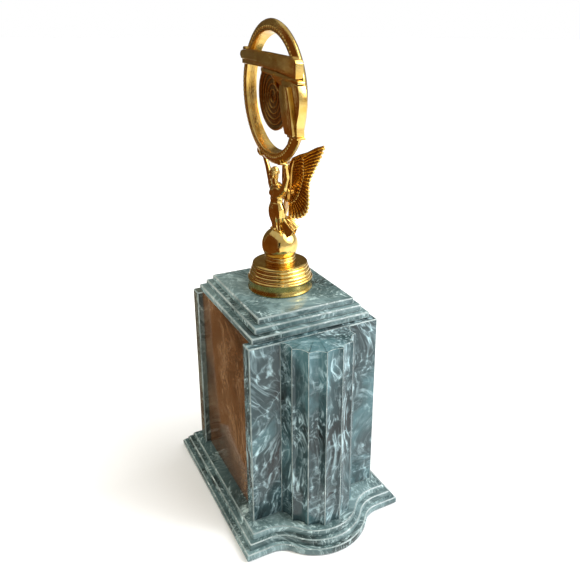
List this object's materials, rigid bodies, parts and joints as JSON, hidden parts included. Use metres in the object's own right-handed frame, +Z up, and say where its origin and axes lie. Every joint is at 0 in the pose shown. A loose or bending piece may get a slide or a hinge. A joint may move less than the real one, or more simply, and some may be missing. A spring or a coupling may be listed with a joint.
{
  "type": "column trophy",
  "caption": "Award trophy: a marble-look column with a fluted half column on a bowed plinth, under a gilt topper where a winged figure holds up a ring with a target and a pistol",
  "frame": {"origin": "middle of the plinth's footprint, on the resting surface", "axes": "+Z up, -Y towards the fluted front of the column, the topper faces -X at rest"},
  "size_m": [0.1156, 0.1554, 0.3293],
  "materials": {
    "marble": "polished dark marble pattern with pale veins",
    "gilt": "polished, gilt",
    "steel": "zinc plated",
    "felt": "matt felt"
  },
  "bodies": {
    "base": {"felt_pad": "felt", "bottom_step": "marble", "middle_step": "marble", "top_step": "marble", "rod_washer": "steel", "core_block": "marble", "front_panel": "marble", "back_panel": "marble", "half_column": "marble", "shoulder_step": "marble", "cap_step": "marble", "top_plate": "marble"},
    "topper": {"tie_rod": "steel", "hex_nut": "steel", "riser": "gilt", "collar": "gilt", "globe": "gilt", "gown": "gilt", "train": "gilt", "torso": "gilt", "head": "gilt", "left_arm": "gilt", "right_arm": "gilt", "left_wing": "gilt", "right_wing": "gilt", "ring": "gilt", "target_disc": "gilt", "pistol_slide": "gilt", "pistol_frame": "gilt", "pistol_guard": "gilt", "pistol_grip": "gilt"}
  },
  "joints": [
    {"name": "topper_turn", "type": "hinge", "parent": "base", "child": "topper", "pos_m": [0, 0.0107, 0.155], "axis": [0, 0, 1], "continuous": true}
  ]
}
